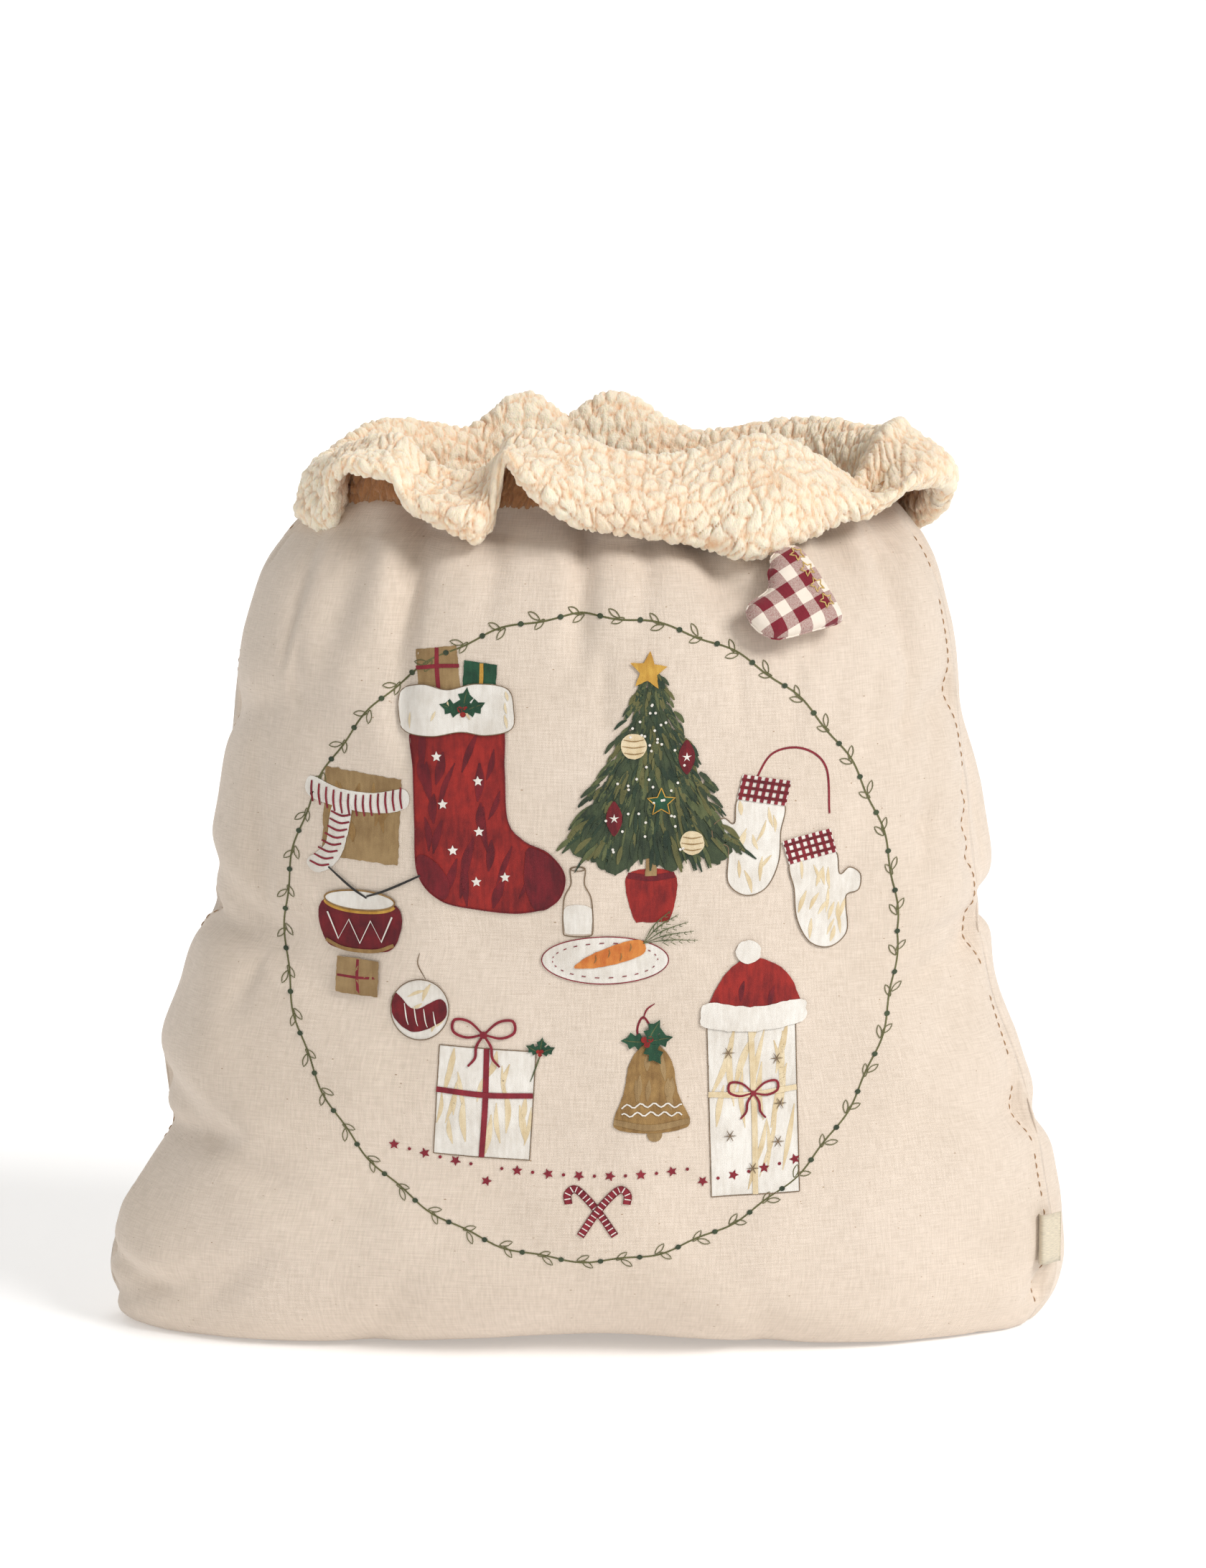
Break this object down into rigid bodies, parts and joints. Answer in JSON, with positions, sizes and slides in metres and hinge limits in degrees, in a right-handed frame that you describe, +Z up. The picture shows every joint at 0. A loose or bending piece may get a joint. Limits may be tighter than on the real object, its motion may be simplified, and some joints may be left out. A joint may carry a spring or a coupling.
{
  "type": "gift sack",
  "caption": "Standing canvas gift sack with a turned-down fleece cuff, a mouth whose back edge slides forward to close it, and a padded boot charm on a ribbon.",
  "frame": {"origin": "middle of the base, on the surface the sack stands on", "axes": "+Z up, the printed front faces -Y, +X to the right of someone who looks at the front"},
  "size_m": [0.516, 0.2438, 0.492],
  "materials": {
    "canvas": "matte plain weave, unbleached",
    "canvas_seam": "matte plain weave, raw edges",
    "fleece": "deep curly pile, cream",
    "ribbon": "narrow woven ribbon",
    "gingham": "matte yarn-dyed check",
    "filling": "loose polyester fibre",
    "gold_thread": "satin thread",
    "woven_label": "woven satin tab, blank"
  },
  "bodies": {
    "sack": {"front_panel": "canvas", "back_panel": "canvas", "left_side_seam": "canvas_seam", "right_side_seam": "canvas_seam", "bottom_seam": "canvas_seam", "neck_band_front": "canvas", "cuff_front": "fleece", "cuff_left": "fleece", "cuff_right": "fleece", "charm_tab": "ribbon"},
    "back_neck": {"neck_band_back": "canvas", "cuff_back": "fleece"},
    "ribbon_loop": {"charm_loop": "ribbon"},
    "charm": {"charm_front": "gingham", "charm_back": "gingham", "charm_filling": "filling", "charm_embroidery": "gold_thread"},
    "label": {"side_label": "woven_label"}
  },
  "joints": [
    {"name": "mouth_close", "type": "slide", "parent": "sack", "child": "back_neck", "axis": [0, -1, 0], "range_m": [0, 0.055]},
    {"name": "charm_lift", "type": "hinge", "parent": "sack", "child": "ribbon_loop", "pos_m": [0.093, -0.0835, 0.4315], "axis": [-0.9397, -0.342, 0], "range_deg": [0, 70]},
    {"name": "charm_swing", "type": "hinge", "parent": "ribbon_loop", "child": "charm", "pos_m": [0.09578, -0.08473, 0.42753], "axis": [0.302, -0.8297, 0.4695], "range_deg": [-30, 30]},
    {"name": "label_flap", "type": "hinge", "parent": "sack", "child": "label", "pos_m": [0.24122, -0.03896, 0.05], "axis": [0, 0, -1], "range_deg": [0, 110]}
  ]
}
